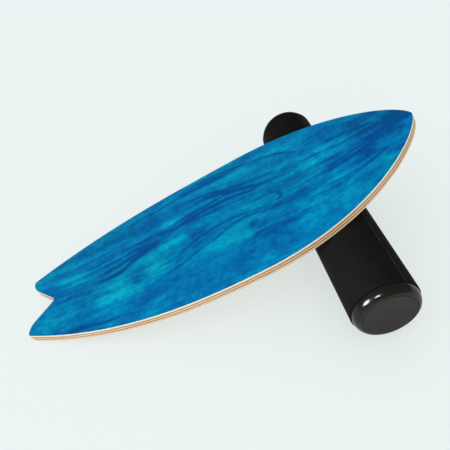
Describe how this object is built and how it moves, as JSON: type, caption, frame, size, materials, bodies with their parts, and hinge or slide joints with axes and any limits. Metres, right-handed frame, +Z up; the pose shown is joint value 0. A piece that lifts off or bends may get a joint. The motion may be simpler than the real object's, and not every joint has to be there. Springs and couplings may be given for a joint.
{
  "type": "balance board",
  "caption": "Swallow-tailed plywood balance deck that tilts and travels on a loose rubber-sleeved roller, for standing balance exercise.",
  "frame": {"origin": "centre of the part's bounding box, on the floor it stands on", "axes": "+X level from the deck's tail to its nose, +Y along the roller to its far end, +Z up"},
  "size_m": [0.7674, 0.527, 0.1828],
  "materials": {
    "blue_stained_veneer": "satin lacquer over blue stain, grain showing",
    "pale_core_ply": "sanded edge",
    "cross_grain_core_ply": "sanded end grain",
    "back_veneer": "satin lacquer",
    "stop_hardwood": "sanded and oiled",
    "screw_steel": "bright zinc",
    "grip_rubber": "matte, fine texture",
    "cap_gloss_plastic": "gloss",
    "disc_matte_plastic": "matte",
    "tube_plastic": "extruded, hidden"
  },
  "bodies": {
    "roller_core": {"core_tube": "tube_plastic"},
    "rocker": {"end_disc_near": "disc_matte_plastic", "end_disc_far": "disc_matte_plastic"},
    "roller": {"grip_sleeve": "grip_rubber", "end_cap_near": "cap_gloss_plastic", "end_cap_far": "cap_gloss_plastic"},
    "deck": {"ply_1_face_veneer": "blue_stained_veneer", "ply_2_core": "pale_core_ply", "ply_3_core": "cross_grain_core_ply", "ply_4_core": "pale_core_ply", "ply_5_core": "cross_grain_core_ply", "ply_6_core": "pale_core_ply", "ply_7_back_veneer": "back_veneer", "nose_stop": "stop_hardwood", "tail_stop": "stop_hardwood", "nose_stop_screw_1": "screw_steel", "nose_stop_screw_2": "screw_steel", "nose_stop_screw_3": "screw_steel", "tail_stop_screw_1": "screw_steel", "tail_stop_screw_2": "screw_steel", "tail_stop_screw_3": "screw_steel"}
  },
  "joints": [
    {"name": "board_rock", "type": "hinge", "parent": "roller_core", "child": "rocker", "pos_m": [0.21105, 0, 0.055], "axis": [0, 1, 0], "range_deg": [0, 31.3]},
    {"name": "board_travel", "type": "hinge", "parent": "rocker", "child": "deck", "pos_m": [-0.70472, 0, 3.3193], "axis": [0, -1, 0], "range_deg": [0, 6.74]},
    {"name": "roller_spin", "type": "hinge", "parent": "rocker", "child": "roller", "pos_m": [0.21105, 0, 0.055], "axis": [0, 1, 0], "continuous": true}
  ],
  "couplings": [
    {"joint": "roller_spin", "follows": "board_travel", "ratio": 60.637}
  ]
}
